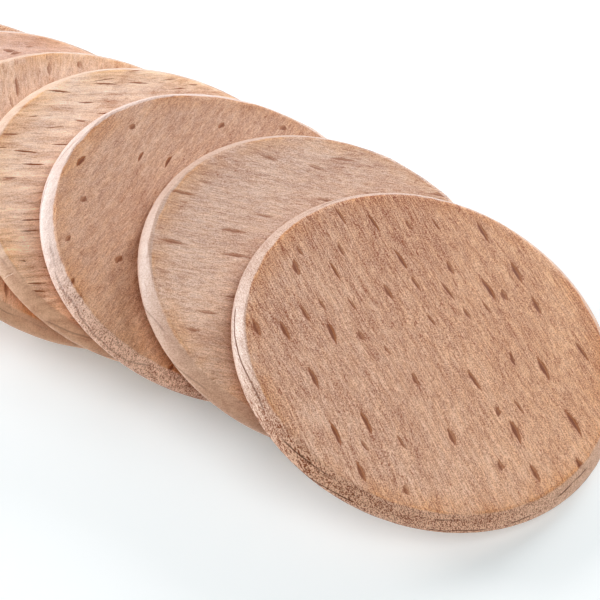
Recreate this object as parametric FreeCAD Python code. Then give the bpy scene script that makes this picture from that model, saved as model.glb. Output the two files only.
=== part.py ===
import FreeCAD, Part

import math
import os

# A row of loose wooden game discs laid like fallen dominoes. All lengths are in millimetres.
# Frame: +Z up from the table, +X along the row towards the disc on top, Z = 0 on the table, and
# the origin under the middle of the whole row.

# ---- sizes of one disc (all discs are alike) ----
disc_diameter = 50.0        # across the widest part of the rim
disc_thickness = 3.5        # face to face
rim_bulge = 1.5             # how far the rounded rim stands out past the edge of the flat face

# ---- how the discs lie in the row ----
resting_gap = 0.06          # air left between one disc and the disc it leans on
# Each line: name, how far its low rim lies past the rim of the disc it leans on, along the row, how
# far its centre is stepped across the row, and how far its lean is turned away from the row
# (degrees). Lowest disc first.
leaning_discs = [
    ("seventh_disc", 9.65, 0.0, 4.0),
    ("sixth_disc", 9.7, 1.3, 4.6),
    ("fifth_disc", 11.05, 0.8, 3.0),
    ("fourth_disc", 10.25, 1.9, 3.3),
    ("third_disc", 10.95, 0.0, 2.9),
    ("second_disc", 15.6, 0.6, 3.0),
    ("top_disc", 16.5, -2.9, 0.0),
]

# ---- values that follow from the sizes ----
disc_radius = disc_diameter / 2.0
half_thickness = disc_thickness / 2.0
bulge = min(rim_bulge, half_thickness)                     # a rim can't be rounder than a half circle
face_radius = disc_radius - bulge
rim_arc_radius = (bulge ** 2 + half_thickness ** 2) / (2.0 * bulge)
rim_arc_centre = disc_radius - rim_arc_radius              # distance of the arc's centre from the axis
rim_arc_half_angle = math.atan2(half_thickness, face_radius - rim_arc_centre)
along_row = FreeCAD.Vector(1, 0, 0)
across_row = FreeCAD.Vector(0, 1, 0)
straight_up = FreeCAD.Vector(0, 0, 1)


def lean_direction(lean, turn):
    """The disc's axis: tipped towards +X by lean, then turned about the vertical."""
    return FreeCAD.Vector(math.sin(lean) * math.cos(turn),
                          math.sin(lean) * math.sin(turn),
                          math.cos(lean))


def reach(axis, direction):
    """How far a disc with this axis reaches from its centre in a unit direction."""
    along = abs(axis.dot(direction))
    outward = math.sqrt(max(0.0, 1.0 - along * along))
    if math.atan2(along, outward) <= rim_arc_half_angle:
        return rim_arc_centre * outward + rim_arc_radius   # the rounded rim is the furthest point
    return face_radius * outward + half_thickness * along  # the edge of the flat face is


def centre_on_table(rim_x, y, axis):
    """The centre of a disc that touches the table and whose rim reaches rim_x along the row."""
    return FreeCAD.Vector(rim_x - reach(axis, along_row), y, reach(axis, -straight_up))


def clear_distance(upper_centre, upper_axis, lower_centre, lower_axis):
    """Distance between two discs, measured square to the lower disc's face and the upper's."""
    between = upper_centre - lower_centre
    return max(between.dot(axis) - reach(upper_axis, axis) - reach(lower_axis, axis)
               for axis in (lower_axis, upper_axis))


def settle(rim_x, y, turn, lower_centre, lower_axis):
    """Lean a disc over until it rests on the disc below with the named gap."""
    flat, steep = 0.0, math.radians(80.0)
    for _ in range(60):
        lean = (flat + steep) / 2.0
        axis = lean_direction(lean, turn)
        centre = centre_on_table(rim_x, y, axis)
        if clear_distance(centre, axis, lower_centre, lower_axis) < resting_gap:
            flat = lean
        else:
            steep = lean
    return steep


def plain_disc():
    """One disc on its own axis, its middle at the origin: flat faces and a rounded rim."""
    def on_axis(radius, height):
        return FreeCAD.Vector(radius, 0, height)

    top_edge = on_axis(face_radius, half_thickness)
    bottom_edge = on_axis(face_radius, -half_thickness)
    outline = Part.Wire([
        Part.LineSegment(on_axis(0, -half_thickness), bottom_edge).toShape(),
        Part.Arc(bottom_edge, on_axis(disc_radius, 0), top_edge).toShape(),
        Part.LineSegment(top_edge, on_axis(0, half_thickness)).toShape(),
        Part.LineSegment(on_axis(0, half_thickness), on_axis(0, -half_thickness)).toShape(),
    ])
    return Part.Face(outline).revolve(FreeCAD.Vector(0, 0, 0), straight_up, 360)


def placed(shape, centre, lean, turn):
    """The disc tipped about its own middle, turned, and moved to its place in the row."""
    tip = FreeCAD.Rotation(across_row, math.degrees(lean))
    swing = FreeCAD.Rotation(straight_up, math.degrees(turn))
    result = shape.copy()
    result.Placement = FreeCAD.Placement(centre, swing.multiply(tip))
    return result


# ---- lay the row, from the flat disc up ----
row = [("bottom_disc", centre_on_table(disc_radius, 0, straight_up), 0.0, 0.0)]
rim_x = disc_radius
for name, step_along, step_across, turn_degrees in leaning_discs:
    _, lower_centre, lower_lean, lower_turn = row[-1]
    turn = math.radians(turn_degrees)
    rim_x += step_along
    y = lower_centre.y + step_across
    lean = settle(rim_x, y, turn, lower_centre, lean_direction(lower_lean, lower_turn))
    row.append((name, centre_on_table(rim_x, y, lean_direction(lean, turn)), lean, turn))


# ---- put the origin under the middle of the row ----
def middle(direction):
    """Halfway between the row's two furthest points in a direction."""
    high = max(c.dot(direction) + reach(lean_direction(a, t), direction) for _, c, a, t in row)
    low = min(c.dot(direction) - reach(lean_direction(a, t), direction) for _, c, a, t in row)
    return (high + low) / 2.0


shift = FreeCAD.Vector(-middle(along_row), -middle(across_row), 0)

os.makedirs("parts", exist_ok=True)
blank = plain_disc()
for name, centre, lean, turn in row:
    disc = placed(blank, centre + shift, lean, turn)
    disc.exportStep("parts/" + name + ".step")
    place = centre + shift
    print("%-13s centre %7.3f %7.3f %6.3f  lean %5.2f  turn %4.1f  valid %s  volume %.1f" % (
        name, place.x, place.y, place.z, math.degrees(lean), math.degrees(turn), disc.isValid(),
        disc.Volume))
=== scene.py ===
import math

import bpy
import numpy as np
from mathutils import Matrix, Vector, noise


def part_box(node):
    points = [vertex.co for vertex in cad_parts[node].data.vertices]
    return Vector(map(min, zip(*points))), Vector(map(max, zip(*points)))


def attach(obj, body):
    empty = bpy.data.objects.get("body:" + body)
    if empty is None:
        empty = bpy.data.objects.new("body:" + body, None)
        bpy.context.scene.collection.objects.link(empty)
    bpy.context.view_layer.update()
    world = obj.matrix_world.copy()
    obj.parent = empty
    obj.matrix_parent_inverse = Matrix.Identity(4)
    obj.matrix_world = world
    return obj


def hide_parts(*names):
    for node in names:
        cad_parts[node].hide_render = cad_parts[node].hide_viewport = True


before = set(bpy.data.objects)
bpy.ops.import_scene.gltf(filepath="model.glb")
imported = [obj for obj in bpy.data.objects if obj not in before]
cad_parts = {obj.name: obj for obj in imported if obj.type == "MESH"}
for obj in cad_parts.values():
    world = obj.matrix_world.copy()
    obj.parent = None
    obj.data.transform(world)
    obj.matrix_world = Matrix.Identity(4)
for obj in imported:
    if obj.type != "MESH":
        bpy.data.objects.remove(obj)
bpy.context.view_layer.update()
print("frame loaded:", len(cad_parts), "discs")

mm = 0.001


# small node helpers

def newNode(tree, kind, x, y, label="", **values):
    node = tree.nodes.new(kind)
    node.location = (x * 180, y * 160)
    node.label = label
    for name, value in values.items():
        setattr(node, name, value)
    return node


def plug(tree, source, target):
    tree.links.new(source, target)


def feed(tree, target, value):  # a number, a vector or another node's output
    if isinstance(value, bpy.types.NodeSocket):
        tree.links.new(value, target)
    else:
        target.default_value = value


def sums(tree, x, y, operation, a, b=0.0, c=0.0, clamp=False, label=""):
    node = newNode(tree, "ShaderNodeMath", x, y, label, operation=operation, use_clamp=clamp)
    for socket, value in zip(node.inputs, (a, b, c)):
        feed(tree, socket, value)
    return node.outputs[0]


def vectors(tree, x, y, operation, a, b=(0, 0, 0), label=""):
    node = newNode(tree, "ShaderNodeVectorMath", x, y, label, operation=operation)
    feed(tree, node.inputs[0], a)
    feed(tree, node.inputs[1], b)
    return node.outputs[1] if operation in ("LENGTH", "DOT_PRODUCT", "DISTANCE") else node.outputs[0]


def ease(tree, x, y, value, low, high, toLow=0.0, toHigh=1.0, label=""):  # a soft step
    node = newNode(tree, "ShaderNodeMapRange", x, y, label, interpolation_type="SMOOTHSTEP")
    for socket, item in zip(node.inputs, (value, low, high, toLow, toHigh)):
        feed(tree, socket, item)
    return node.outputs[0]


def blendColours(tree, x, y, share, a, b, mode="MIX", label=""):
    node = newNode(tree, "ShaderNodeMix", x, y, label, data_type="RGBA", blend_type=mode)
    feed(tree, node.inputs[0], share)
    feed(tree, node.inputs[6], a)
    feed(tree, node.inputs[7], b)
    return node.outputs[2]


def noiseAt(tree, x, y, position, scale, detail=3.0, roughness=0.6, label=""):  # scale is per axis
    stretched = vectors(tree, x, y, "MULTIPLY", position, scale)
    node = newNode(tree, "ShaderNodeTexNoise", x + 1, y, label, noise_dimensions="3D")
    feed(tree, node.inputs["Vector"], stretched)
    node.inputs["Scale"].default_value = 1.0
    node.inputs["Detail"].default_value = detail
    node.inputs["Roughness"].default_value = roughness
    return node


def newGroup(name, inputs, outputs):
    tree = bpy.data.node_groups.new(name, "ShaderNodeTree")
    for title, kind, value in inputs:
        socket = tree.interface.new_socket(title, in_out="INPUT", socket_type="NodeSocket" + kind)
        if value is not None:
            socket.default_value = value
    for title, kind in outputs:
        tree.interface.new_socket(title, in_out="OUTPUT", socket_type="NodeSocket" + kind)
    return tree, newNode(tree, "NodeGroupInput", -2, 0), newNode(tree, "NodeGroupOutput", 24, 0)


# the wood as a solid: x runs along the grain, y round the tree, z out from its heart, all in mm

bends = {  # lumps a mm along and across the grain, then how many mm the grain moves sideways
    "slow": ((0.035, 0.07, 0.07), (0.0, 5.0, 5.0)),
    "quick": ((0.16, 0.45, 0.45), (0.0, 0.55, 0.55)),
}


def grainSpace():
    # turns the disc's own coordinates into the wood's, moves each disc to its own place in the tree
    # and bends the grain a little
    tree, into, out = newGroup("grainSpace", [
        ("Disc Position", "Vector", None), ("Grain Turn", "Float", 0.0), ("Ring Tilt", "Float", 0.1),
        ("Ring Roll", "Float", 0.0), ("Tree Place", "Vector", (0, 0, 0)), ("Waviness", "Float", 0.6)],
        [("Wood Position", "Vector")])
    inMm = vectors(tree, -1, 0, "SCALE", into.outputs["Disc Position"])
    inMm.node.inputs["Scale"].default_value = 1000.0
    turn = newNode(tree, "ShaderNodeVectorRotate", 0, 0, "along the grain", rotation_type="Z_AXIS")
    plug(tree, inMm, turn.inputs["Vector"])
    feed(tree, turn.inputs["Angle"], sums(tree, -1, -1, "MULTIPLY", into.outputs["Grain Turn"], -1.0))
    roll = newNode(tree, "ShaderNodeVectorRotate", 1, 0, "rings across the grain", rotation_type="X_AXIS")
    plug(tree, turn.outputs[0], roll.inputs["Vector"])
    feed(tree, roll.inputs["Angle"], into.outputs["Ring Roll"])
    tip = newNode(tree, "ShaderNodeVectorRotate", 2, 0, "rings along the grain", rotation_type="Y_AXIS")
    plug(tree, roll.outputs[0], tip.inputs["Vector"])
    feed(tree, tip.inputs["Angle"], into.outputs["Ring Tilt"])
    moved = vectors(tree, 3, 0, "ADD", tip.outputs[0], into.outputs["Tree Place"])
    moves = []
    for row, (label, (lumps, reach)) in enumerate(bends.items()):
        y = -2 - 2 * row
        wave = noiseAt(tree, 3, y, moved, lumps, 2.0, 0.5, label)
        centred = vectors(tree, 5, y, "SUBTRACT", wave.outputs["Color"], (0.5, 0.5, 0.5))
        moves.append(vectors(tree, 6, y, "MULTIPLY", centred, reach))
    both = vectors(tree, 7, -3, "ADD", *moves)
    scaled = newNode(tree, "ShaderNodeVectorMath", 8, -3, operation="SCALE")
    plug(tree, both, scaled.inputs[0])
    plug(tree, into.outputs["Waviness"], scaled.inputs["Scale"])
    plug(tree, vectors(tree, 9, 0, "ADD", moved, scaled.outputs[0]), out.inputs["Wood Position"])
    return tree


fleckShape = {
    "layerDepth": 60.0, "scatter": 0.9,             # mm between layers of cells, and how random they are
    "ragLumps": (1.3, 4.5, 4.5), "rag": 1.1,        # the ragged outline
    "shortest": 0.2, "longer": 0.32, "narrowest": 0.26, "wider": 0.3,   # shares of length and width
    "edge": (1.12, 0.62), "coreEdge": (1.0, 0.25), "coreAside": 0.3, "coreNarrower": 1.5,
}


def rayFlecks():
    # spindle-shaped cuts through the rays: one per cell, in a random size, place and darkness
    tree, into, out = newGroup("rayFlecks", [
        ("Wood Position", "Vector", None), ("Cell Length", "Float", 6.0), ("Cell Width", "Float", 3.0),
        ("Length", "Float", 2.6), ("Width", "Float", 0.55), ("Share", "Float", 0.7),
        ("Slant", "Float", 0.12)],
        [("Mask", "Float"), ("Core", "Float"), ("Variety", "Float")])
    size = newNode(tree, "ShaderNodeCombineXYZ", -1, -1)
    feed(tree, size.inputs[0], into.outputs["Cell Length"])
    feed(tree, size.inputs[1], into.outputs["Cell Width"])
    size.inputs[2].default_value = fleckShape["layerDepth"]
    cells = newNode(tree, "ShaderNodeTexVoronoi", 1, 0, voronoi_dimensions="3D", feature="F1")
    plug(tree, vectors(tree, 0, 0, "DIVIDE", into.outputs["Wood Position"], size.outputs[0]),
         cells.inputs["Vector"])
    cells.inputs["Scale"].default_value = 1.0
    cells.inputs["Randomness"].default_value = fleckShape["scatter"]
    centre = vectors(tree, 2, -1, "MULTIPLY", cells.outputs["Position"], size.outputs[0])
    away = newNode(tree, "ShaderNodeSeparateXYZ", 4, -1)
    plug(tree, vectors(tree, 3, -1, "SUBTRACT", into.outputs["Wood Position"], centre), away.inputs[0])
    luck = newNode(tree, "ShaderNodeSeparateColor", 3, 1)
    plug(tree, cells.outputs["Color"], luck.inputs[0])
    # a ragged edge, so that no two flecks are the same drop
    rag = noiseAt(tree, 3, 3, into.outputs["Wood Position"], fleckShape["ragLumps"], 2.0, 0.6)
    ragged = sums(tree, 5, 3, "MULTIPLY_ADD", rag.outputs["Fac"], fleckShape["rag"],
                  -fleckShape["rag"] / 2)
    lengthHere = sums(tree, 5, 1, "MULTIPLY", into.outputs["Length"],
                      sums(tree, 4, 1, "MULTIPLY_ADD", luck.outputs[0], fleckShape["longer"],
                           fleckShape["shortest"]))
    widthHere = sums(tree, 5, 0, "MULTIPLY", into.outputs["Width"],
                     sums(tree, 4, 0, "MULTIPLY_ADD", luck.outputs[1], fleckShape["wider"],
                          fleckShape["narrowest"]))
    lean = sums(tree, 5, -3, "MULTIPLY", into.outputs["Slant"],
                sums(tree, 4, -3, "MULTIPLY_ADD", luck.outputs[1], 2.0, -1.0))
    sideways = sums(tree, 6, -2, "MULTIPLY_ADD", away.outputs[0], lean, away.outputs[1])
    along = sums(tree, 7, 1, "DIVIDE", away.outputs[0], lengthHere)
    squared = sums(tree, 8, 1, "MULTIPLY", along, along)
    bow = sums(tree, 7, -3, "MULTIPLY", sums(tree, 6, -3, "SUBTRACT", luck.outputs[0], 0.5), squared)
    across = sums(tree, 8, 0, "ADD", sums(tree, 7, 0, "DIVIDE", sideways, widthHere), bow)
    shape = sums(tree, 10, 0, "ADD", sums(tree, 9, 0, "ADD", sums(tree, 9, 1, "ABSOLUTE", across), squared),
                 ragged)
    present = sums(tree, 9, 2, "LESS_THAN", luck.outputs[2], into.outputs["Share"])
    mask = sums(tree, 12, 0, "MULTIPLY", ease(tree, 11, 0, shape, *fleckShape["edge"]), present)
    # the core lies along one side of the fleck
    side = sums(tree, 9, -2, "ABSOLUTE", sums(tree, 8, -2, "ADD", across, fleckShape["coreAside"]))
    narrower = sums(tree, 10, -3, "MULTIPLY_ADD", side, fleckShape["coreNarrower"], squared)
    darkest = sums(tree, 10, -2, "ADD", narrower, ragged)
    core = sums(tree, 12, -2, "MULTIPLY", ease(tree, 11, -2, darkest, *fleckShape["coreEdge"]), mask)
    plug(tree, mask, out.inputs["Mask"])
    plug(tree, core, out.inputs["Core"])
    plug(tree, luck.outputs[0], out.inputs["Variety"])
    return tree


poreShape = {"lumps": (0.75, 4.2, 4.2), "edge": (0.42, 0.14), "luck": (0.35, 0.9)}


def woodFibre():
    # sanded beech from fine to coarse: each noise is stretched along the grain, and most of all the hair
    tree, into, out = newGroup("woodFibre", [("Wood Position", "Vector", None)],
                               [(title, "Float") for title in ("Grit", "Hair", "Fibre", "Streak", "Cloud",
                                                               "Tinge", "Pores")])
    position = into.outputs["Wood Position"]
    layers = [  # how many lumps a mm along and across the grain, octaves, roughness
        ("Grit", 5.5, 7.6, 0.0, 0.5), ("Hair", 0.35, 5.2, 1.0, 0.55), ("Fibre", 0.8, 2.4, 2.0, 0.55),
        ("Streak", 0.09, 0.95, 4.0, 0.6), ("Cloud", 0.05, 0.12, 3.0, 0.55), ("Tinge", 0.5, 1.6, 3.0, 0.65),
    ]
    for row, (title, alongGrain, acrossGrain, octaves, roughness) in enumerate(layers):
        layer = noiseAt(tree, 0, 6 - 2 * row, position, (alongGrain, acrossGrain, acrossGrain),
                        octaves, roughness, title.lower())
        plug(tree, layer.outputs["Fac"], out.inputs[title])
    stretched = vectors(tree, 0, -6, "MULTIPLY", position, poreShape["lumps"])
    holes = newNode(tree, "ShaderNodeTexVoronoi", 1, -6, "pores", voronoi_dimensions="3D", feature="F1")
    plug(tree, stretched, holes.inputs["Vector"])
    holes.inputs["Scale"].default_value = 1.0
    some = newNode(tree, "ShaderNodeSeparateColor", 2, -7)
    plug(tree, holes.outputs["Color"], some.inputs[0])
    pores = sums(tree, 4, -6, "MULTIPLY", ease(tree, 3, -6, holes.outputs["Distance"], *poreShape["edge"]),
                 ease(tree, 3, -7, some.outputs[0], *poreShape["luck"]))
    plug(tree, pores, out.inputs["Pores"])
    return tree


ringShape = {
    "wanderLumps": (0.02, 0.09, 0.09), "wander": 1.2,   # how far the rings stray, in ring widths
    "darkening": 3.0, "lastShare": 0.93,
    "lineAt": 0.94, "lineEdge": (0.075, 0.03),          # the thin line, in ring widths
    "breakLumps": (0.12, 0.12, 0.05), "breakEdge": (0.44, 0.5),
}


def growthRings():
    # each year's wood darkens slowly and ends in a thin darker line, which shows most on the rim
    tree, into, out = newGroup("growthRings", [("Wood Position", "Vector", None),
                                               ("Ring Width", "Float", 1.7)],
                               [("Ring", "Float"), ("Line", "Float")])
    position = into.outputs["Wood Position"]
    wander = noiseAt(tree, 0, 2, position, ringShape["wanderLumps"], 3.0, 0.5).outputs["Fac"]
    parts = newNode(tree, "ShaderNodeSeparateXYZ", 0, 0)
    plug(tree, position, parts.inputs[0])
    height = sums(tree, 2, 0, "DIVIDE", parts.outputs[2], into.outputs["Ring Width"])
    height = sums(tree, 3, 0, "MULTIPLY_ADD", wander, ringShape["wander"], height)
    phase = sums(tree, 4, 0, "FRACT", height)
    darker = sums(tree, 5, 0, "POWER", phase, ringShape["darkening"])
    plug(tree, sums(tree, 6, 0, "MULTIPLY", darker, ease(tree, 5, -1, phase, 1.0, ringShape["lastShare"])),
         out.inputs["Ring"])
    breaks = noiseAt(tree, 2, 3, position, ringShape["breakLumps"], 1.0, 0.5).outputs["Fac"]
    near = sums(tree, 5, 2, "ABSOLUTE", sums(tree, 4, 2, "SUBTRACT", phase, ringShape["lineAt"]))
    plug(tree, sums(tree, 7, 2, "MULTIPLY", ease(tree, 6, 2, near, *ringShape["lineEdge"]),
                    ease(tree, 6, 3, breaks, *ringShape["breakEdge"])), out.inputs["Line"])
    return tree


edgeShape = {  # lumps a mm, and distances in mm out past the face's edge
    "lumps": (0.5, 0.5, 0.5), "uneven": 0.5,
    "rim": (-0.12, 0.16), "side": (0.35, 0.8), "band": (-3.6, -0.4), "line": (-0.7, -0.25),
    "endGrain": (0.45, 0.95),                    # how squarely the grain is cut
    "bandShow": 0.7, "reachLumps": (0.11, 0.11, 0.11), "reachEdge": (0.36, 0.6),
}


def discParts():
    # where on the disc a point lies: on the sanded rim or the band rubbed just inside its edge, and
    # how squarely the rim cuts the grain there, on the side of the rim left in shade
    tree, into, out = newGroup("discParts", [
        ("Disc Position", "Vector", None), ("End Turn", "Float", 0.0), ("Face Radius", "Float", 23.5)],
        [("Rim", "Float"), ("Side", "Float"), ("Shaded End Grain", "Float"), ("Edge", "Float")])
    flat = vectors(tree, 0, 0, "MULTIPLY", into.outputs["Disc Position"], (1000.0, 1000.0, 0.0))
    radius = vectors(tree, 1, 0, "LENGTH", flat)
    uneven = noiseAt(tree, 0, 2, flat, edgeShape["lumps"], 3.0, 0.6).outputs["Fac"]
    edgeAt = sums(tree, 2, 1, "MULTIPLY_ADD", uneven, edgeShape["uneven"], -edgeShape["uneven"] / 2)
    past = sums(tree, 3, 0, "SUBTRACT", sums(tree, 2, 0, "ADD", radius, edgeAt),
                into.outputs["Face Radius"])
    rim = ease(tree, 4, 0, past, *edgeShape["rim"])
    plug(tree, ease(tree, 4, -1, past, *edgeShape["side"]), out.inputs["Side"])
    outward = vectors(tree, 2, -2, "NORMALIZE", flat)
    grain = newNode(tree, "ShaderNodeCombineXYZ", 2, -3)
    feed(tree, grain.inputs[0], sums(tree, 1, -3, "COSINE", into.outputs["End Turn"]))
    feed(tree, grain.inputs[1], sums(tree, 1, -4, "SINE", into.outputs["End Turn"]))
    # end grain is shown on one side of the rim only, the side in shade; the lit end is left smooth, so its
    # darkening is partly painted shade
    square = vectors(tree, 3, -2, "DOT_PRODUCT", outward, grain.outputs[0])
    plug(tree, rim, out.inputs["Rim"])
    plug(tree, sums(tree, 6, -2, "MULTIPLY", ease(tree, 5, -2, square, *edgeShape["endGrain"]), rim),
         out.inputs["Shaded End Grain"])
    reach = noiseAt(tree, 3, 3, flat, edgeShape["reachLumps"], 3.0, 0.6).outputs["Fac"]
    band = sums(tree, 6, 3, "MULTIPLY", ease(tree, 5, 2, past, *edgeShape["band"]), edgeShape["bandShow"])
    line = ease(tree, 5, 4, past, *edgeShape["line"])           # rubbed hardest just inside the edge
    plug(tree, sums(tree, 8, 2, "MULTIPLY", sums(tree, 7, 2, "MAXIMUM", band, line),
                    ease(tree, 5, 3, reach, *edgeShape["reachEdge"])), out.inputs["Edge"])
    return tree


groups = {make.__name__: make() for make in (grainSpace, rayFlecks, woodFibre, growthRings, discParts)}
print("wood node groups built:", ", ".join(groups))


def placeGroup(tree, name, x, y, **values):
    node = newNode(tree, "ShaderNodeGroup", x, y, name)
    node.node_tree = groups[name]
    for title, value in values.items():
        feed(tree, node.inputs[title], value)
    return node


# one beech material per disc

beech = {
    "pale": (1.50, 1.67, 1.74), "deep": (0.375, 0.134, 0.029),   # against the wood's mean colour
    "rimPale": (1.5, 1.7, 1.8), "rimDeep": (0.4, 0.19, 0.09),
    "fleck": (0.300, 0.082, 0.015, 1.0),       # rays cut through
    "fleckCore": (0.170, 0.036, 0.006, 1.0),
    "pore": (0.165, 0.056, 0.020, 1.0),
    "crack": (0.095, 0.028, 0.010, 1.0),
    "rimPaintedShade": (0.98, 0.83, 0.69, 1.0),       # painted shade on the rim away from the side the key light falls on
    "endGrainPaintedShade": (0.92, 0.84, 0.80, 1.0),       # end grain, on the shaded side of the rim only: partly painted shade
    "burnish": (0.97, 0.80, 0.57, 1.0),        # the band rubbed just inside the edge
    "orange": (1.015, 0.98, 0.93, 1.0), "pink": (0.985, 1.01, 1.05, 1.0),
    # painted shade and light: warmer and darker beside the disc that lies on top, cooler and paler towards
    # the light
    "warmShadedSide": (1.03, 0.955, 0.83, 1.0), "coolLitSide": (1.0, 1.04, 1.10, 1.0),
    "meanTone": 0.46,                          # how each layer of the wood shows in its tone
    "gritShow": 1.35, "hairShow": 1.05, "fibreShow": 0.25, "cloudShow": 0.35,
    "rimShow": 0.62, "endShow": 2.1,           # contrast on the rim, and where it cuts the grain
    "smallGap": (3.1, 1.5), "smallSize": (1.6, 0.34), "smallShare": 0.5, "smallShow": 0.3,
    "smallShift": (31.0, 17.0, 5.0),
    "largeSlant": 0.14, "smallSlant": 0.12,    # how far a fleck may lean off the grain
    "fleckLeast": 0.65, "fleckMore": 0.35,     # strength of the shortest flecks, and what length adds
    "poresEverywhere": 0.22, "poresOnEnd": 0.7,
    "warmShadeSpan": (-0.9, 0.9), "rimHighlightToShadeSpan": (0.75, -0.1), "tingeSpan": (0.3, 0.7),
    "hairHeight": 0.05, "gritHeight": 0.03, "fleckHeight": -0.03, "crackHeight": -0.03,
    "poreHeight": -0.05, "bump": 0.8,
    "faceRoughness": 0.66, "rimRoughness": 0.46, "crackRoughness": 0.5, "fibreRoughness": 0.2,
    "gloss": 0.38,
}


def shade(colour, factors):
    return tuple(c * f for c, f in zip(colour, factors)) + (1.0,)


def towards(turn):  # a direction across the disc, so long that its rim lies at 1
    turn = math.radians(turn)
    return 40 * math.cos(turn), 40 * math.sin(turn), 0


def makeBeech(name, wood):
    material = bpy.data.materials.new(name)
    material.use_nodes = True
    tree = material.node_tree
    tree.nodes.clear()
    turn = math.radians(wood["grainTurn"])
    own = newNode(tree, "ShaderNodeTexCoord", -4, 0).outputs["Object"]
    space = placeGroup(tree, "grainSpace", -3, 0, **{
        "Disc Position": own, "Grain Turn": turn, "Ring Tilt": math.radians(wood["ringTilt"]),
        "Ring Roll": math.radians(wood["ringRoll"]), "Tree Place": wood["treePlace"],
        "Waviness": wood["waviness"]}).outputs[0]
    fibre = placeGroup(tree, "woodFibre", -1, 2, **{"Wood Position": space})
    rings = placeGroup(tree, "growthRings", -1, 0, **{"Wood Position": space,
                                                       "Ring Width": wood["ringWidth"]})
    parts = placeGroup(tree, "discParts", -1, -2, **{
        "Disc Position": own, "End Turn": math.radians(wood["endTurn"])})
    large = placeGroup(tree, "rayFlecks", -1, -4, **{
        "Wood Position": space, "Cell Length": wood["fleckGap"][0], "Cell Width": wood["fleckGap"][1],
        "Length": wood["fleckSize"][0], "Width": wood["fleckSize"][1], "Share": wood["fleckShare"],
        "Slant": beech["largeSlant"]})
    shifted = vectors(tree, -2, -6, "ADD", space, beech["smallShift"])
    small = placeGroup(tree, "rayFlecks", -1, -6, **{
        "Wood Position": shifted, "Cell Length": beech["smallGap"][0], "Cell Width": beech["smallGap"][1],
        "Length": beech["smallSize"][0], "Width": beech["smallSize"][1], "Share": beech["smallShare"],
        "Slant": beech["smallSlant"]})

    # one tone from pale to deep wood, added up from the fibre's layers, the rings and a painted light
    # drift: the face lighter towards one side and darker towards the other, as the light falls across it
    paintedLightDrift = vectors(tree, 0, 5, "DOT_PRODUCT", own, towards(wood["paintedLightTowards"]))
    tone = sums(tree, 1, 5, "MULTIPLY_ADD", paintedLightDrift, -wood["paintedLightDrift"], beech["meanTone"])
    shows = {"Streak": wood["streakShow"], "Fibre": beech["fibreShow"], "Hair": beech["hairShow"],
             "Grit": beech["gritShow"], "Cloud": beech["cloudShow"]}
    for column, (title, show) in enumerate(shows.items()):
        centred = sums(tree, 2 + column, 4, "SUBTRACT", fibre.outputs[title], 0.5)
        if title in ("Hair", "Grit"):
            show *= wood["fine"]
        tone = sums(tree, 3 + column, 5, "MULTIPLY_ADD", centred, show, tone)
    tone = sums(tree, 8, 5, "MULTIPLY_ADD", rings.outputs["Ring"], wood["ringShow"], tone)
    colour = blendColours(tree, 9, 4, tone, shade(wood["colour"], beech["pale"]),
                          shade(wood["colour"], beech["deep"]))
    tinge = blendColours(tree, 9, 6, ease(tree, 8, 6, fibre.outputs["Tinge"], *beech["tingeSpan"]),
                         beech["orange"], beech["pink"])
    colour = blendColours(tree, 10, 4, 1.0, colour, tinge, "MULTIPLY")
    # painted shade across the face: warmer and darker towards the disc that lies on top (on the top disc,
    # towards its upper edge), cooler and paler on the side the light comes from
    towardsShade = vectors(tree, 8, 8, "DOT_PRODUCT", own, towards(wood["warmShadeTowards"]))
    side = blendColours(tree, 10, 8, ease(tree, 9, 8, towardsShade, *beech["warmShadeSpan"]), beech["coolLitSide"],
                        beech["warmShadedSide"])
    colour = blendColours(tree, 11, 8, 1.0, colour, side, "MULTIPLY")
    colour = blendColours(tree, 11, 4, parts.outputs["Edge"], colour,
                          blendColours(tree, 10, 6, 1.0, colour, beech["burnish"], "MULTIPLY"))
    # flecks
    colour = blendColours(tree, 12, 4, sums(tree, 11, 6, "MULTIPLY", small.outputs["Mask"],
                                                beech["smallShow"]),
                          colour, beech["fleck"])
    strength = sums(tree, 10, -4, "MULTIPLY_ADD", large.outputs["Variety"],
                    beech["fleckMore"] * wood["fleckShow"], beech["fleckLeast"] * wood["fleckShow"])
    colour = blendColours(tree, 13, 4, sums(tree, 11, -4, "MULTIPLY", large.outputs["Mask"], strength),
                          colour, beech["fleck"])
    colour = blendColours(tree, 14, 4, sums(tree, 11, -5, "MULTIPLY", large.outputs["Core"], strength),
                          colour, beech["fleckCore"])
    # rim: the same wood with more contrast, stippled with open pores where it cuts across the grain on its
    # shaded side
    contrast = sums(tree, 9, 2, "MULTIPLY_ADD", parts.outputs["Shaded End Grain"],
                    beech["endShow"] - beech["rimShow"], beech["rimShow"])
    rimTone = sums(tree, 10, 1, "MULTIPLY_ADD", sums(tree, 9, 1, "SUBTRACT", tone, beech["meanTone"]),
                   contrast, beech["meanTone"])
    rimColour = blendColours(tree, 11, 1, rimTone, shade(wood["rimColour"], beech["rimPale"]),
                             shade(wood["rimColour"], beech["rimDeep"]))
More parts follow.
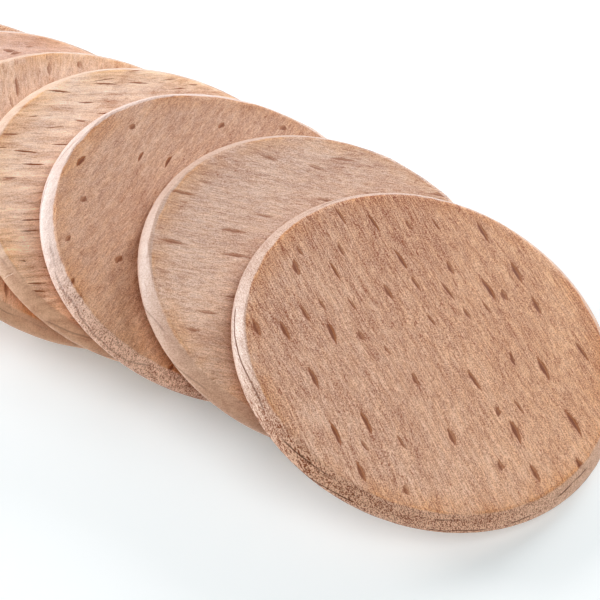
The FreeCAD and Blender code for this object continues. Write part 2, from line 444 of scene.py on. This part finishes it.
    # painted highlight and shade: each disc's rim colour is its pale side towards the key light, and away
    # from it the rim is darkened with painted shade
    turned = vectors(tree, 8, 10, "DOT_PRODUCT", own, towards(wood["rimPaintedHighlightTowards"]))
    rimColour = blendColours(tree, 11, 2, ease(tree, 9, 10, turned, *beech["rimHighlightToShadeSpan"]), rimColour,
                             blendColours(tree, 10, 2, 1.0, rimColour, beech["rimPaintedShade"], "MULTIPLY"))
    rimColour = blendColours(tree, 12, 3, parts.outputs["Shaded End Grain"], rimColour,
                             blendColours(tree, 11, 3, 1.0, rimColour, beech["endGrainPaintedShade"], "MULTIPLY"))
    openness = sums(tree, 10, 0, "MULTIPLY_ADD", parts.outputs["Shaded End Grain"], beech["poresOnEnd"],
                    beech["poresEverywhere"])
    stipple = sums(tree, 11, 0, "MULTIPLY", fibre.outputs["Pores"],
                   sums(tree, 10, -1, "MULTIPLY", openness, parts.outputs["Rim"]))
    stipple = sums(tree, 12, 0, "MULTIPLY", stipple, wood["poreShow"])
    rimColour = blendColours(tree, 12, 1, stipple, rimColour, beech["pore"])
    colour = blendColours(tree, 15, 2, parts.outputs["Rim"], colour, rimColour)
    crack = sums(tree, 13, -1, "MULTIPLY", rings.outputs["Line"],
                 sums(tree, 12, -1, "MULTIPLY", parts.outputs["Side"], wood["rimLines"]))
    colour = blendColours(tree, 16, 2, crack, colour, beech["crack"])

    height = sums(tree, 10, -7, "MULTIPLY", fibre.outputs["Hair"], beech["hairHeight"])
    height = sums(tree, 11, -7, "MULTIPLY_ADD", fibre.outputs["Grit"], beech["gritHeight"], height)
    height = sums(tree, 12, -7, "MULTIPLY_ADD", large.outputs["Mask"], beech["fleckHeight"], height)
    height = sums(tree, 13, -7, "MULTIPLY_ADD", crack, beech["crackHeight"], height)
    height = sums(tree, 14, -7, "MULTIPLY_ADD", stipple, beech["poreHeight"], height)
    bump = newNode(tree, "ShaderNodeBump", 15, -7)
    bump.inputs["Strength"].default_value = beech["bump"]
    bump.inputs["Distance"].default_value = mm
    plug(tree, height, bump.inputs["Height"])
    roughness = sums(tree, 14, -3, "MULTIPLY_ADD", fibre.outputs["Fibre"], beech["fibreRoughness"],
                     beech["faceRoughness"] - beech["fibreRoughness"] / 2)
    roughness = sums(tree, 15, -3, "MULTIPLY_ADD", parts.outputs["Rim"],
                     beech["rimRoughness"] - beech["faceRoughness"], roughness)
    roughness = sums(tree, 16, -3, "MULTIPLY_ADD", crack, beech["crackRoughness"], roughness,
                     clamp=True)

    shader = newNode(tree, "ShaderNodeBsdfPrincipled", 18, 0)
    plug(tree, colour, shader.inputs["Base Color"])
    plug(tree, roughness, shader.inputs["Roughness"])
    plug(tree, bump.outputs[0], shader.inputs["Normal"])
    shader.inputs["Specular IOR Level"].default_value = beech["gloss"]
    plug(tree, shader.outputs[0], newNode(tree, "ShaderNodeOutputMaterial", 20, 0).inputs[0])
    return material


# the discs: how each was cut from the board and sanded, lowest last

plainWood = {
    "colour": (0.60, 0.35, 0.24), "rimColour": (0.615, 0.41, 0.325),
    "grainTurn": 0.0, "ringTilt": 8.0, "ringRoll": 4.0, "treePlace": (0.0, 0.0, 0.0), "waviness": 0.6,
    "ringWidth": 1.7, "ringShow": 0.08, "streakShow": 0.6, "paintedLightTowards": 0.0, "paintedLightDrift": 0.0,
    "warmShadeTowards": -12.0, "endTurn": 60.0, "rimPaintedHighlightTowards": 172.0,
    "rimLines": 0.35, "poreShow": 1.0, "fine": 1.0, "seed": 1,
    "fleckGap": (7.0, 4.2), "fleckSize": (4.4, 0.95), "fleckShare": 0.75, "fleckShow": 1.0,
}
discs = {
    "top_disc": dict(plainWood, colour=(0.612, 0.334, 0.212), grainTurn=-31.0, endTurn=-72.0,
                     treePlace=(11.0, 7.0, 3.2), ringWidth=1.15, ringTilt=2.5, ringRoll=-2.0,
                     rimLines=0.9, paintedLightTowards=-35.0, paintedLightDrift=0.12, warmShadeTowards=60.0, seed=3),
    "second_disc": dict(plainWood, colour=(0.66, 0.41, 0.295), rimColour=(0.59, 0.385, 0.3),
                        grainTurn=29.0, treePlace=(151.0, 27.0, 33.0), fine=0.6, fleckSize=(4.4, 0.8),
                        fleckShare=0.6, fleckShow=0.6, paintedLightTowards=250.0, paintedLightDrift=0.05, seed=5),
    "third_disc": dict(plainWood, colour=(0.585, 0.315, 0.2), rimColour=(0.69, 0.485, 0.415),
                       grainTurn=94.0, endTurn=-72.0, treePlace=(351.0, 127.0, 13.0), fine=0.65,
                       fleckSize=(2.6, 1.0), fleckShare=0.5, poreShow=0.6, paintedLightTowards=212.0,
                       paintedLightDrift=0.07, seed=8),
    "fourth_disc": dict(plainWood, colour=(0.87, 0.557, 0.395), rimColour=(0.68, 0.43, 0.31),
                        grainTurn=45.0, treePlace=(51.0, 227.0, 63.0), ringShow=0.15, waviness=0.3,
                        streakShow=1.3, fine=0.4, fleckGap=(6.0, 1.7), fleckSize=(4.0, 0.34),
                        fleckShare=0.6, paintedLightTowards=212.0, paintedLightDrift=0.06, seed=13),
    "fifth_disc": dict(plainWood, colour=(0.83, 0.505, 0.345), rimColour=(0.68, 0.43, 0.31),
                       grainTurn=-54.0, treePlace=(91.0, 327.0, 83.0), fine=0.4, fleckShow=0.6,
                       seed=21),
    "sixth_disc": dict(plainWood, colour=(0.83, 0.505, 0.385), grainTurn=38.0,
                       treePlace=(191.0, 427.0, 103.0), fine=0.3, fleckShow=0.8, seed=34),
    "seventh_disc": dict(plainWood, colour=(0.7, 0.42, 0.3), grainTurn=75.0,
                         treePlace=(291.0, 27.0, 123.0), seed=55),
    "bottom_disc": dict(plainWood, colour=(0.66, 0.42, 0.315), grainTurn=10.0,
                        treePlace=(391.0, 77.0, 143.0), fleckShow=0.8, seed=89),
}
discShape = {
    "radius": 25.0, "halfThickness": 1.75, "rimBulge": 1.5,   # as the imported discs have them, in mm
    "spokes": 480, "faceRings": 46, "rimRings": 26,
    "edgeWander": 0.22, "edgeNicks": 0.07, "faceWander": 0.02, "rimWander": 0.045,
    "crease": 50.0, "bevel": 0.42,             # how sharply the rim starts, and how flat it is
    "inset": 0.01,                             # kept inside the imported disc
}


def discPose(node):
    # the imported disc's middle and axis, worked out from its vertices
    points = np.array([tuple(vertex.co) for vertex in node.data.vertices])
    low, high = points.min(0), points.max(0)
    areas, centres = [], []
    for face in node.data.polygons:
        areas.append(face.area)
        centres.append(tuple(face.center))
    areas, centres = np.array(areas), np.array(centres)
    middle = (centres * areas[:, None]).sum(0) / areas.sum()
    spread = ((centres - middle).T * areas) @ (centres - middle)
    axis = Vector(np.linalg.eigh(spread)[1][:, 0]).normalized()
    if axis.z < 0:
        axis.negate()
    alongRow = Vector((1, 0, 0))
    downhill = Vector((axis.x, axis.y, 0)) if axis.z < 0.999 else alongRow
    across = axis.cross(downhill.normalized()).normalized()
    forward = across.cross(axis).normalized()
    turned = Matrix((forward, across, axis)).transposed().to_4x4()
    return Matrix.Translation(Vector(middle)) @ turned


def softNoise(x, y, z, seed):
    return noise.noise(Vector((x + seed * 7.31, y - seed * 3.17, z + seed * 1.93)))


def makeDisc(name, wood, pose):
    shape, seed = discShape, wood["seed"]
    spokes, crease = shape["spokes"], math.radians(shape["crease"])
    verts, faces = [], []
    radii = [shape["radius"] * (i / shape["faceRings"]) ** 0.75 for i in range(1, shape["faceRings"] + 1)]

    def edge(angle, side):  # how far in from the widest part the flat face ends
        x, y = math.cos(angle), math.sin(angle)
        slow = softNoise(x * 1.3, y * 1.3, side * 4.0, seed)
        quick = softNoise(x * 7.0, y * 7.0, side * 9.0, seed)
        uneven = shape["edgeWander"] * slow * 2.0 + shape["edgeNicks"] * quick * 2.0
        return shape["rimBulge"] * (1.0 + uneven)

    def section(angle, side):  # points of one half of the outline, from the middle of the face outwards
        bulge = edge(angle, side)
        faceRadius = shape["radius"] - shape["inset"] - bulge
        row = []
        x, y = math.cos(angle), math.sin(angle)
        for radius in radii[:-1]:
            r = radius / shape["radius"] * (faceRadius - 0.12)
            dip = shape["faceWander"] * softNoise(x * r * 0.12, y * r * 0.12, side * 2.0, seed)
            row.append((r, shape["halfThickness"] - abs(dip) - shape["inset"]))
        for step in range(shape["rimRings"]):
            swing = crease + (math.pi / 2 - crease) * (step + 0.1) / shape["rimRings"]
            out = (math.sin(swing) - math.sin(crease)) / (1 - math.sin(crease))
            r = faceRadius + bulge * out
            h = math.cos(swing) / math.cos(crease) * (1 - shape["bevel"]) + (1 - out) * shape["bevel"]
            h *= shape["halfThickness"] - shape["inset"]
            lift = shape["rimWander"] * softNoise(x * r * 0.45, y * r * 0.45, side * h * 0.8, seed + 2)
            fall = 1.0 - abs(lift) / shape["radius"]
            row.append((r * fall, h))
        return row

    for side in (1, -1):
        for spoke in range(spokes):
            angle = 2 * math.pi * spoke / spokes
            for r, h in section(angle, side):
                verts.append((r * math.cos(angle) * mm, r * math.sin(angle) * mm, side * h * mm))
    perSpoke = len(radii) - 1 + shape["rimRings"]
    perSide = perSpoke * spokes
    for spoke in range(spokes):
        after = (spoke + 1) % spokes
        for i in range(perSpoke - 1):
            a, b = spoke * perSpoke + i, after * perSpoke + i
            faces.append((a, a + 1, b + 1, b))
            faces.append((perSide + a, perSide + b, perSide + b + 1, perSide + a + 1))
        a, b = spoke * perSpoke + perSpoke - 1, after * perSpoke + perSpoke - 1
        faces.append((a, perSide + a, perSide + b, b))
    for side in (0, 1):
        middle = len(verts)
        verts.append((0, 0, (1 - 2 * side) * (shape["halfThickness"] - shape["inset"]) * mm))
        for spoke in range(spokes):
            a = side * perSide + spoke * perSpoke
            b = side * perSide + (spoke + 1) % spokes * perSpoke
            faces.append((middle, a, b) if side == 0 else (middle, b, a))

    mesh = bpy.data.meshes.new(name + "Wood")
    mesh.from_pydata(verts, [], faces)
    mesh.polygons.foreach_set("use_smooth", [True] * len(mesh.polygons))
    mesh.update()
    piece = bpy.data.objects.new(name + "Wood", mesh)
    bpy.context.scene.collection.objects.link(piece)
    piece.matrix_world = pose
    piece.data.materials.append(makeBeech("beech_" + name, wood))
    return piece


for name, wood in discs.items():
    piece = makeDisc(name, wood, discPose(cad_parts[name]))
    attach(piece, name)
    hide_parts(name)
    print("turned and sanded:", name, len(piece.data.polygons), "faces")


# table, light and camera

stage = {
    "size": 3.0, "colour": (0.925, 0.95, 0.968, 1.0), "drop": 0.00005,
    "glow": (0.136, 0.186, 0.200, 1.0), "farGlow": (1.1, 1.1, 1.1, 1.0),   # near the discs, and far off
    "glowFrom": 0.20, "glowTo": 0.42,          # metres from the middle
}


def makeTable():
    half = stage["size"] / 2
    mesh = bpy.data.meshes.new("table")
    mesh.from_pydata([(-half, -half, 0), (half, -half, 0), (half, half, 0), (-half, half, 0)], [],
                     [(0, 1, 2, 3)])
    table = bpy.data.objects.new("table", mesh)
    table.location.z = -stage["drop"]
    bpy.context.scene.collection.objects.link(table)
    material = bpy.data.materials.new("whitePaper")
    material.use_nodes = True
    tree = material.node_tree
    shader = tree.nodes["Principled BSDF"]
    place = newNode(tree, "ShaderNodeTexCoord", -8, 0).outputs["Object"]
    distance = vectors(tree, -6, 0, "LENGTH", place)
    glow = blendColours(tree, -3, 0, ease(tree, -4, 0, distance, stage["glowFrom"], stage["glowTo"]),
                        stage["glow"], stage["farGlow"], label="glow")
    plug(tree, glow, shader.inputs["Emission Color"])
    shader.inputs["Base Color"].default_value = stage["colour"]
    shader.inputs["Roughness"].default_value = 0.9
    shader.inputs["Specular IOR Level"].default_value = 0.1
    shader.inputs["Emission Strength"].default_value = 1.0
    mesh.materials.append(material)


studio = {
    "wall": 1.3,                               # the white wall is far off and lights nothing
    "lamps": [  # name, compass turn and height in degrees, distance and size in metres, watts, tint
        ("windowLamp", -97.0, 16.0, 0.34, 0.20, 2.75, (1.0, 1.0, 1.0)),
        ("backLamp", 8.0, 22.0, 0.34, 0.20, 1.35, (1.0, 1.0, 1.0)),
        ("frontFill", 116.0, 48.0, 0.34, 0.24, 0.58, (1.0, 0.98, 0.95)),
    ],
    "filmCurve": [(0.5, 0.5), (0.8, 0.755), (0.95, 0.87)], "filmWhite": 1.15,   # bright wood rolls off
}


def makeLight():
    world = bpy.data.worlds.new("studio")
    world.use_nodes = True
    bpy.context.scene.world = world
    wall = world.node_tree.nodes["Background"]
    wall.inputs["Color"].default_value = (1.0, 1.0, 1.0, 1.0)
    wall.inputs["Strength"].default_value = studio["wall"]
    world.cycles_visibility.diffuse = False
    world.cycles_visibility.glossy = False
    for name, turn, height, distance, size, watts, tint in studio["lamps"]:
        lamp = bpy.data.lights.new(name, "AREA")
        lamp.shape = "SQUARE"
        lamp.size = size
        lamp.energy = watts
        lamp.color = tint
        turn, height = math.radians(turn), math.radians(height)
        away = Vector((math.sin(turn) * math.cos(height), math.cos(turn) * math.cos(height),
                       math.sin(height)))
        holder = bpy.data.objects.new(name, lamp)
        holder.location = away * distance
        holder.rotation_euler = away.to_track_quat("Z", "Y").to_euler()
        bpy.context.scene.collection.objects.link(holder)


def makeFilm():
    film = bpy.context.scene.view_settings
    film.view_transform = "Standard"
    film.use_curve_mapping = True
    white = studio["filmWhite"]
    film.curve_mapping.white_level = (white, white, white)
    for light, shown in studio["filmCurve"]:
        film.curve_mapping.curves[3].points.new(light / white, shown)
    film.curve_mapping.update()


view = {"turn": 32.72, "height": 45.63, "roll": -0.97, "distance": 0.2058,
        "aim": (-0.02273, 0.00615), "lens": 90.0, "sensor": 36.0}


def makeCamera():
    low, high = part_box("top_disc")
    aim = Vector(((low[0] + high[0]) / 2 + view["aim"][0], (low[1] + high[1]) / 2 + view["aim"][1], 0))
    turn, height, roll = (math.radians(view[k]) for k in ("turn", "height", "roll"))
    back = Vector((math.sin(turn) * math.cos(height), -math.cos(turn) * math.cos(height),
                   math.sin(height)))
    right = Vector((math.cos(turn), math.sin(turn), 0))
    up = back.cross(right)
    tiltedRight = right * math.cos(roll) + up * math.sin(roll)
    tiltedUp = up * math.cos(roll) - right * math.sin(roll)
    camera = bpy.data.cameras.new("camera")
    camera.lens = view["lens"]
    camera.sensor_width = view["sensor"]
    camera.clip_start = 0.01
    camera.clip_end = 20.0
    holder = bpy.data.objects.new("camera", camera)
    holder.matrix_world = (Matrix.Translation(aim + back * view["distance"])
                           @ Matrix((tiltedRight, tiltedUp, back)).transposed().to_4x4())
    bpy.context.scene.collection.objects.link(holder)
    bpy.context.scene.camera = holder


makeTable()
makeLight()
makeCamera()
makeFilm()
print("table, light and camera placed")
